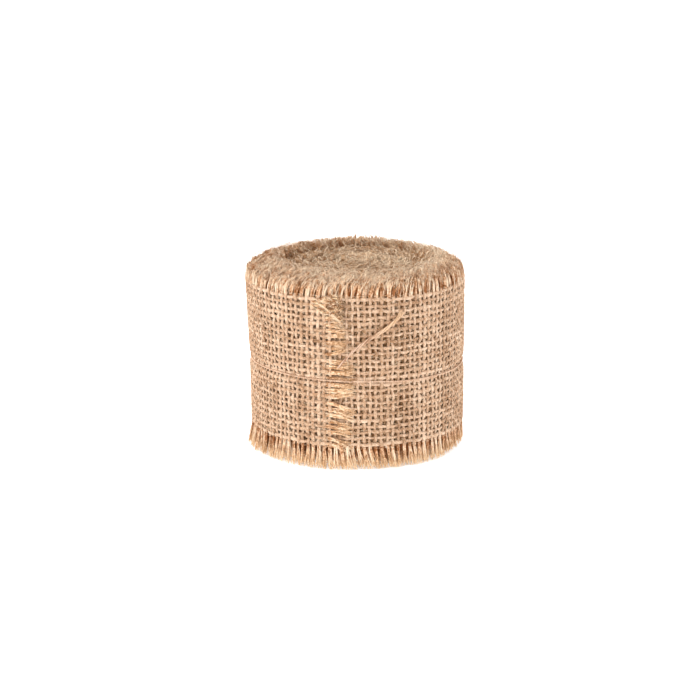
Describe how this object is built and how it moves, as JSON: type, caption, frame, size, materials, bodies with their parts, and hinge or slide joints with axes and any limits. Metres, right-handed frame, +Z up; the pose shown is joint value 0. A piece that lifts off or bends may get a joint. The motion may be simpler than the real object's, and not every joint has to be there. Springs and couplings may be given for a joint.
{
  "type": "ribbon roll",
  "caption": "Coreless roll of natural jute burlap ribbon with frayed edges, tied round its waist with a thin thread, standing on one edge.",
  "frame": {"origin": "on the roll's axis, at the level of the surface that it stands on", "axes": "+Z up along the roll's axis; the ribbon's free end is at the front, -Y; +X is to the right of someone who looks at the front"},
  "size_m": [0.0828, 0.0832, 0.07],
  "materials": {
    "burlap": "coarse open plain weave of natural jute, matt",
    "fringe": "loose untwisted jute fibres, matt",
    "thread": "fine two-ply jute thread, matt",
    "yarn": "single jute yarn, loosely twisted, frayed at its tip"
  },
  "bodies": {
    "roll": {"outer_turns": "burlap", "frayed_edge_bottom": "fringe", "frayed_edge_top": "fringe"},
    "middle_turns": {"middle_turns": "burlap"},
    "inner_turns": {"inner_turns": "burlap"},
    "centre_turns": {"centre_turns": "burlap"},
    "tail_upper": {"tail_upper": "burlap"},
    "tail_lower": {"tail_lower": "burlap"},
    "tie_thread": {"tie_thread": "thread"},
    "loose_yarn": {"loose_yarn": "yarn"}
  },
  "joints": [
    {"name": "middle_slide", "type": "slide", "parent": "roll", "child": "middle_turns", "axis": [0, 0, 1], "range_m": [0, 0.006]},
    {"name": "inner_slide", "type": "slide", "parent": "middle_turns", "child": "inner_turns", "axis": [0, 0, 1], "range_m": [0, 0.006]},
    {"name": "centre_slide", "type": "slide", "parent": "inner_turns", "child": "centre_turns", "axis": [0, 0, 1], "range_m": [0, 0.006]},
    {"name": "tie_thread_slide", "type": "slide", "parent": "roll", "child": "tie_thread", "axis": [0, 0, 1], "range_m": [0, 0.045]},
    {"name": "tail_upper_fold", "type": "hinge", "parent": "roll", "child": "tail_upper", "pos_m": [-0.02166, -0.03352, 0.04], "axis": [0, 0, -1], "range_deg": [0, 40]},
    {"name": "tail_lower_fold", "type": "hinge", "parent": "roll", "child": "tail_lower", "pos_m": [-0.02166, -0.03352, 0.02], "axis": [0, 0, -1], "range_deg": [0, 40]},
    {"name": "loose_yarn_lift", "type": "hinge", "parent": "tail_upper", "child": "loose_yarn", "pos_m": [-0.0072, -0.04004, 0.0379], "axis": [0, 0, -1], "range_deg": [0, 40], "deforming": ["loose_yarn"]}
  ],
  "couplings": [
    {"joint": "inner_slide", "follows": "middle_slide", "ratio": 1},
    {"joint": "centre_slide", "follows": "middle_slide", "ratio": 1}
  ]
}
